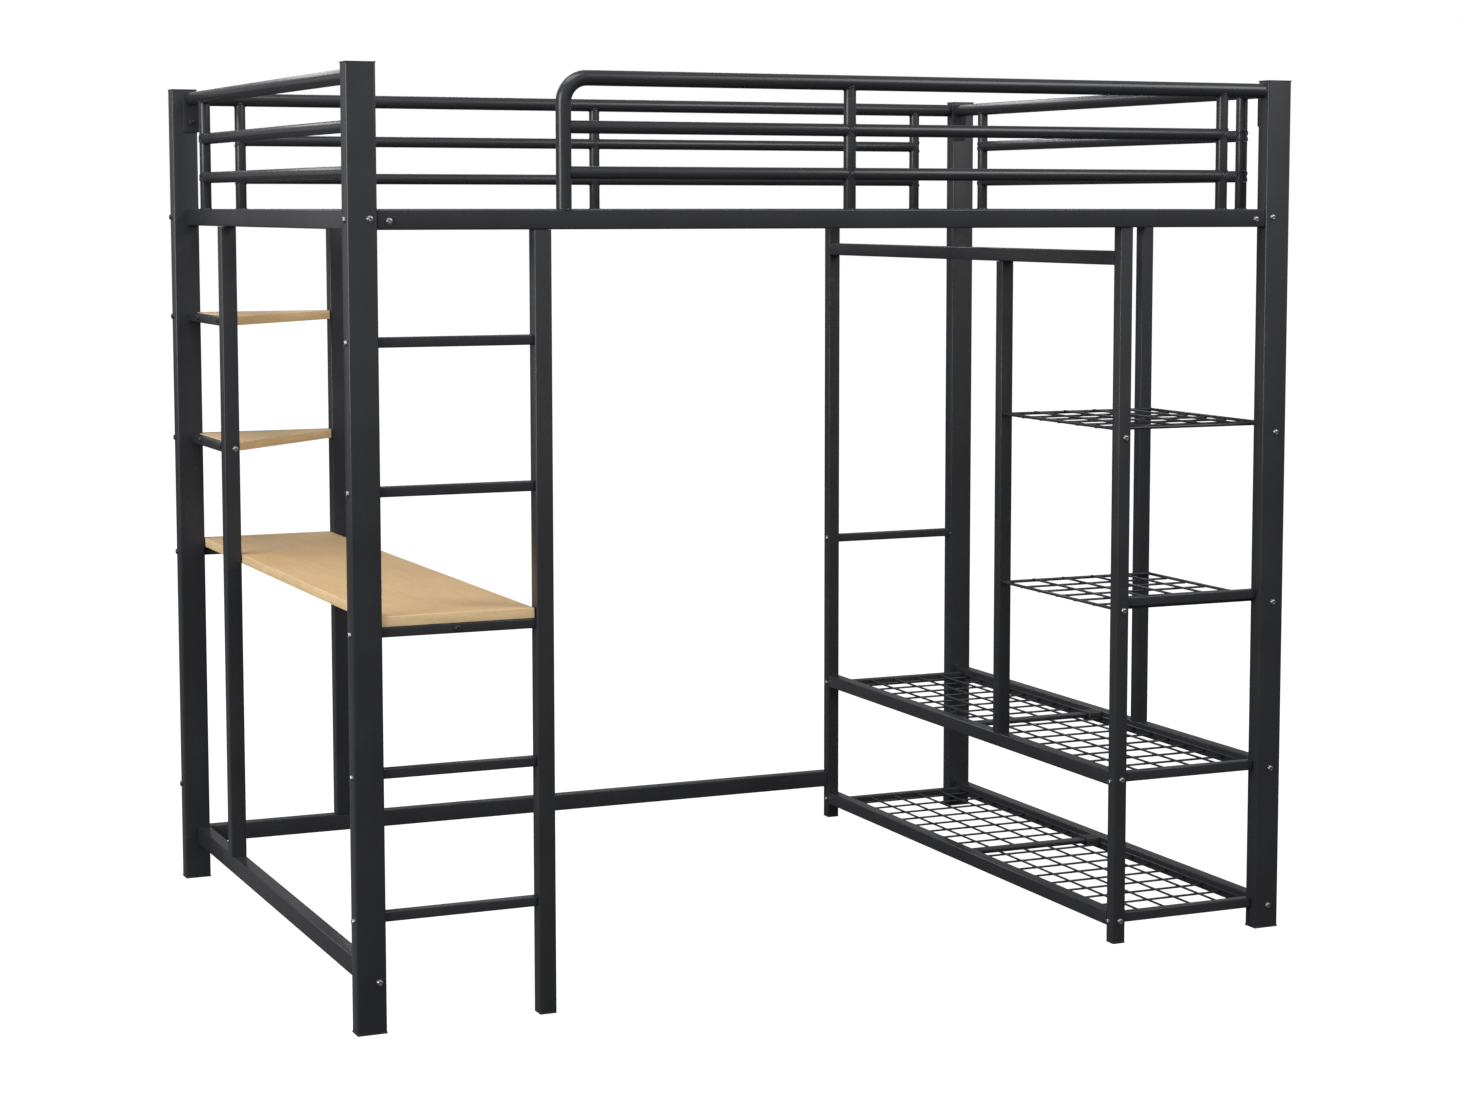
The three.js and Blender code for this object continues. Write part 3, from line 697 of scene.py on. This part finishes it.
blackBolts += [("corner_shelf_upper_side_bracket", 0, -1, y, 1.317) for y in (0.405, 0.595)]
blackBolts += [("corner_shelf_lower_side_bracket", 0, -1, y, 1.038) for y in (0.405, 0.595)]
wardrobeBolts = [("wardrobe_leg_front", 1, -1, 0.6445, z) for z in (1.0836, 0.717, 0.3544, 0.0484)]
wardrobeBolts += [("wardrobe_leg_front", 0, -1, -0.698, z) for z in (0.3477, 0.0449)]
wardrobeBolts += [("wardrobe_leg_back", 0, -1, 0.703, z) for z in (0.7233, 0.350, 0.0462)]


def addBolts(name, rows, material):
    # All bolts of one group as one piece. On an end face along is y, on a front face it is x.
    shapes = []
    for node, axis, sign, along, level in rows:
        face = faceOf(node, axis, sign)
        centre = (face, along, level) if axis == 0 else (along, face, level)
        shapes.append(boltHead(centre, axis, sign))
    addPiece(name, shapes, [material])


addBolts("bed_bolts", bedBolts, zinc)
addBolts("desk_bolts", deskBolts, zinc)
addBolts("wardrobe_bolts", wardrobeBolts, zinc)
addBolts("black_bolts", blackBolts, coat)
print("bolts made")


plates = {"frontWidth": 26 * mm, "backWidth": 38 * mm, "height": 92 * mm, "thick": 3 * mm,
          "corner": 4 * mm, "edge": 0.5 * mm, "top": 1.829, "bolt": 1.760}


def addEndPlates():
    # Each end guard meets its two posts with a flat plate, held by one bolt under the top tube.
    shapes, heads = [], []
    for side in ("left", "right"):
        low, high = box(f"guard_{side}_top")
        x = (low[0] + high[0]) / 2
        ends = ((box("post_front_left")[1][1], 1, plates["frontWidth"]),
                (box("post_back_left")[0][1], -1, plates["backWidth"]))
        for y, sign, width in ends:
            section = rectangle(width, plates["height"], plates["corner"], steps=5)
            start, end = sorted((y, y + sign * plates["thick"]))
            middle = (x, plates["top"] - plates["height"] / 2)
            shapes.append(bar(section, start, end, 1, middle, plates["edge"]))
            heads.append(boltHead((x, y + sign * plates["thick"], plates["bolt"]), 1, sign))
    addPiece("guard_end_plates", shapes, [coat])
    addPiece("guard_plate_bolts", heads, [coat])


addEndPlates()
print("plates made")


stage = {"floor": 60.0, "camera": (-2.5336, -5.9239, 1.5692), "pitch": 5.46, "yaw": 24.13,
         "sensor": 36, "lens": 71.21, "shift": (-0.0193, -0.0452),
         "floorGlow": 1.0, "floorTone": (0.10, 0.10, 0.10, 1), "softFront": 0.82, "softBack": 0.20}


def addFloor():
    # A plain white backdrop to the camera, and a dark matt floor to everything else.
    half = stage["floor"]
    mesh = bpy.data.meshes.new("floor")
    corners = [(-half, -half, 0), (half, -half, 0), (half, half, 0), (-half, half, 0)]
    mesh.from_pydata(corners, [], [(0, 1, 2, 3)])
    material, nodes, links, shader = newMaterial("paleFloor", Metallic=0.0, Roughness=0.9)
    shader.inputs["Base Color"].default_value = stage["floorTone"]
    shader.inputs["Emission Color"].default_value = (1, 1, 1, 1)
    shader.inputs["Specular IOR Level"].default_value = 0.0
    seen, glow = nodes.new("ShaderNodeLightPath"), nodes.new("ShaderNodeMath")
    glow.operation, glow.inputs[1].default_value = "MULTIPLY", stage["floorGlow"]
    links.new(seen.outputs["Is Camera Ray"], glow.inputs[0])
    links.new(glow.outputs["Value"], shader.inputs["Emission Strength"])
    mesh.materials.append(material)
    floor = bpy.data.objects.new("floor", mesh)
    bpy.context.scene.collection.objects.link(floor)


def addWorld():
    # White behind the object. As light, its strength fades from the front to the back.
    world = bpy.data.worlds.new("studio")
    world.use_nodes = True
    nodes, links = world.node_tree.nodes, world.node_tree.links
    soft = nodes["Background"]
    soft.inputs["Color"].default_value = (1, 1, 1, 1)
    place, parts = nodes.new("ShaderNodeTexCoord"), nodes.new("ShaderNodeSeparateXYZ")
    fade = nodes.new("ShaderNodeMapRange")
    fade.inputs["From Min"].default_value, fade.inputs["From Max"].default_value = -1, 1
    fade.inputs["To Min"].default_value = stage["softFront"]
    fade.inputs["To Max"].default_value = stage["softBack"]
    links.new(place.outputs["Generated"], parts.inputs["Vector"])
    links.new(parts.outputs["Y"], fade.inputs["Value"])
    links.new(fade.outputs["Result"], soft.inputs["Strength"])
    seen = nodes.new("ShaderNodeBackground")
    seen.inputs["Color"].default_value = (1, 1, 1, 1)
    path, mix = nodes.new("ShaderNodeLightPath"), nodes.new("ShaderNodeMixShader")
    links.new(path.outputs["Is Camera Ray"], mix.inputs["Fac"])
    links.new(soft.outputs["Background"], mix.inputs[1])
    links.new(seen.outputs["Background"], mix.inputs[2])
    links.new(mix.outputs["Shader"], nodes["World Output"].inputs["Surface"])
    bpy.context.scene.world = world


# Name, place, what it points at, width and height, and power in watts.
lights = [("overhead", (-2.2, -1.0, 6.5), (0, 0, 0.4), (6, 2.4), 350),
          ("frontLeft", (-7.6, -2.4, 3.0), (0, 0, 1.0), (4, 4), 620),
          ("frontRight", (3.6, -4.6, 5.2), (-0.8, 0.4, 1.1), (3, 3), 260),
          ("backLeft", (-5.3, 7.0, 1.9), (0.8, -0.5, 1.2), (2.4, 3.2), 12),
          ("backStrip", (-0.5, 6.0, 4.4), (-0.5, 0, 1.6), (7, 0.7), 75)]


def addLight(name, place, target, size, power):
    # An area lamp shines down its own -Z. It is tilted by the angle between straight down and
    # the target, whose tangent is the level distance over the drop, and then turned to face it.
    light = bpy.data.lights.new(name, "AREA")
    light.shape, light.size, light.size_y, light.energy = "RECTANGLE", size[0], size[1], power
    lamp = bpy.data.objects.new(name, light)
    lamp.location = place
    aim = np.asarray(target, float) - np.asarray(place, float)
    flat = math.hypot(aim[0], aim[1])
    lamp.rotation_euler = (math.atan2(flat, -aim[2]), 0, math.atan2(-aim[0], aim[1]))
    lamp.visible_camera = False
    bpy.context.scene.collection.objects.link(lamp)


addFloor()
addWorld()
for row in lights:
    addLight(*row)

camera = bpy.data.objects.new("camera", bpy.data.cameras.new("camera"))
camera.data.sensor_width, camera.data.lens = stage["sensor"], stage["lens"]
camera.data.shift_x, camera.data.shift_y = stage["shift"]
camera.location = stage["camera"]
camera.rotation_euler = (math.radians(90 - stage["pitch"]), 0, math.radians(-stage["yaw"]))
bpy.context.scene.collection.objects.link(camera)
bpy.context.scene.camera = camera
bpy.context.scene.view_settings.view_transform = "Standard"
print("stage set")
